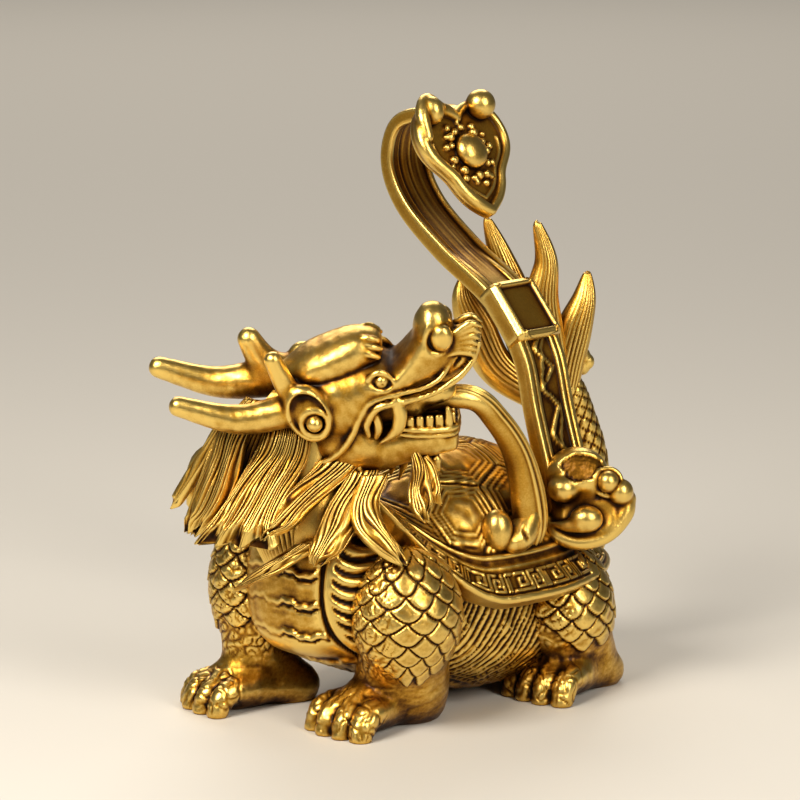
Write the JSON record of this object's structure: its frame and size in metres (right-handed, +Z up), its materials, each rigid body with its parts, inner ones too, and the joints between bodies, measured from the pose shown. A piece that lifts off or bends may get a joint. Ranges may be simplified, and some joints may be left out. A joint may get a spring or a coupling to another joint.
{
  "type": "dragon turtle figurine",
  "caption": "Cast dragon turtle with an oval shell, a dragon's head turned to its left, a hanging mane and flame tail, carrying an upright ruyi sceptre; flat soles.",
  "frame": {"origin": "on the ground under the middle of the figurine's bounding box", "axes": "+Z up, the turtle's body faces -Y, its left side is +X"},
  "size_m": [0.055, 0.0952, 0.1042],
  "materials": {
    "brass": "sand-cast, satin antique gold with dark recesses"
  },
  "bodies": {
    "root": {"dragon_turtle": "brass"}
  },
  "joints": []
}
